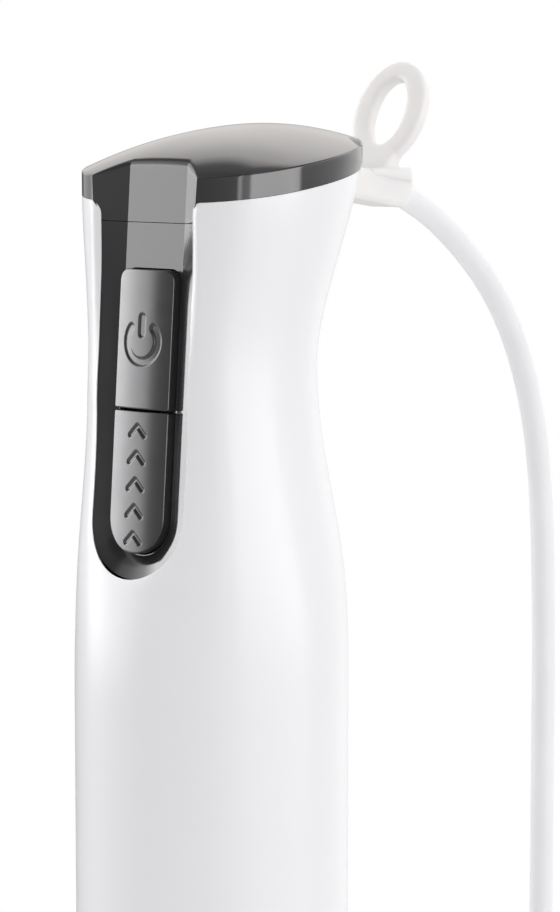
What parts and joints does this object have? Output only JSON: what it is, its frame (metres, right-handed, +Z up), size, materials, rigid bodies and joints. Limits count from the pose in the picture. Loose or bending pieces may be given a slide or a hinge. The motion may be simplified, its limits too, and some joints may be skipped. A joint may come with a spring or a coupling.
{
  "type": "immersion blender",
  "caption": "Corded stick blender: a shaped handle with power and turbo push buttons, a hanging loop, and a pull-off steel foot with a guarded blade.",
  "frame": {"origin": "on the drive axis, in the plane of the bell's rim", "axes": "+Z up along the drive axis, -Y out of the buttons, +Y towards the cord"},
  "size_m": [0.1133, 0.2529, 0.4108],
  "materials": {
    "shell_white": "gloss white moulded plastic",
    "cap_grey": "polished dark grey plastic",
    "button_grey": "satin dark grey plastic",
    "loop_clear": "milky soft plastic",
    "cord_white": "satin white sheath",
    "plug_white": "moulded white plastic",
    "pin_metal": "nickel plated brass",
    "steel": "brushed stainless steel",
    "blade_steel": "ground stainless steel",
    "core_steel": "laminated electrical steel",
    "copper": "enamelled copper wire",
    "bronze": "sintered bronze",
    "carbon": "carbon",
    "black_plastic": "glass filled black plastic",
    "white_plastic": "white nylon",
    "damper_rubber": "black rubber",
    "seal_rubber": "red silicone",
    "board_green": "glass fibre board",
    "capacitor_yellow": "film capacitor case",
    "lead_brown": "brown insulation",
    "lead_red": "red insulation",
    "spring_steel": "spring wire",
    "screw_steel": "zinc plated steel"
  },
  "bodies": {
    "handle": {"body_shell": "shell_white", "top_cap": "cap_grey", "control_bezel": "cap_grey", "strain_relief": "loop_clear", "hanging_loop": "loop_clear", "power_cord": "cord_white", "cord_tail": "cord_white", "cord_coil": "cord_white", "plug_body": "plug_white", "plug_pins": "pin_metal", "stator_core": "core_steel", "field_coils": "copper", "lower_bracket": "black_plastic", "upper_bracket": "black_plastic", "lower_bearing": "bronze", "upper_bearing": "bronze", "brush_holders": "bronze", "carbon_brushes": "carbon", "brush_springs": "spring_steel", "lower_damper": "damper_rubber", "upper_damper": "damper_rubber", "circuit_board": "board_green", "power_switch": "black_plastic", "turbo_switch": "black_plastic", "capacitor": "capacitor_yellow", "mains_leads": "lead_brown", "motor_leads": "lead_red", "cord_clamp": "white_plastic", "clamp_screws": "screw_steel", "socket_collar": "cap_grey", "latch_clip": "spring_steel", "motor_screws": "screw_steel", "power_button_spring": "spring_steel", "turbo_button_spring": "spring_steel", "release_spring_left": "spring_steel", "release_spring_right": "spring_steel"},
    "rotor": {"motor_shaft": "steel", "armature_core": "core_steel", "armature_windings": "copper", "commutator": "copper", "cooling_fan": "white_plastic", "drive_coupler": "black_plastic"},
    "power_button": {"power_button": "button_grey"},
    "turbo_button": {"turbo_button": "button_grey"},
    "release_button_left": {"release_button_left": "button_grey"},
    "release_button_right": {"release_button_right": "button_grey"},
    "foot": {"foot_hub": "shell_white", "foot_spigot": "white_plastic", "foot_tube": "steel", "bell_guard": "steel", "upper_bush": "bronze", "lower_bush": "black_plastic", "shaft_seal": "seal_rubber"},
    "blade": {"drive_shaft": "steel", "driven_coupler": "black_plastic", "blade": "blade_steel", "blade_nut": "blade_steel", "retaining_ring": "spring_steel"}
  },
  "joints": [
    {"name": "motor_spin", "type": "hinge", "parent": "handle", "child": "rotor", "pos_m": [0, 0, 0.25], "axis": [0, 0, 1], "continuous": true},
    {"name": "foot_slide", "type": "slide", "parent": "handle", "child": "foot", "axis": [0, 0, -1], "range_m": [0, 0.045], "deforming": ["latch_clip"]},
    {"name": "blade_spin", "type": "hinge", "parent": "foot", "child": "blade", "pos_m": [0, 0, 0.012], "axis": [0, 0, 1], "continuous": true},
    {"name": "power_press", "type": "slide", "parent": "handle", "child": "power_button", "axis": [0, 0.9972, -0.0748], "range_m": [0, 0.0012], "stiffness_N_per_m": 600, "springref_m": -0.002, "deforming": ["power_button_spring"]},
    {"name": "turbo_press", "type": "slide", "parent": "handle", "child": "turbo_button", "axis": [0, 0.9972, -0.0748], "range_m": [0, 0.0012], "stiffness_N_per_m": 600, "springref_m": -0.002, "deforming": ["turbo_button_spring"]},
    {"name": "release_press_left", "type": "slide", "parent": "handle", "child": "release_button_left", "axis": [1, 0, 0], "range_m": [0, 0.0022], "stiffness_N_per_m": 500, "springref_m": -0.002, "deforming": ["release_spring_left"]},
    {"name": "release_press_right", "type": "slide", "parent": "handle", "child": "release_button_right", "axis": [-1, 0, 0], "range_m": [0, 0.0022], "stiffness_N_per_m": 500, "springref_m": -0.002, "deforming": ["release_spring_right"]}
  ],
  "couplings": [
    {"joint": "blade_spin", "follows": "motor_spin", "ratio": 1}
  ]
}
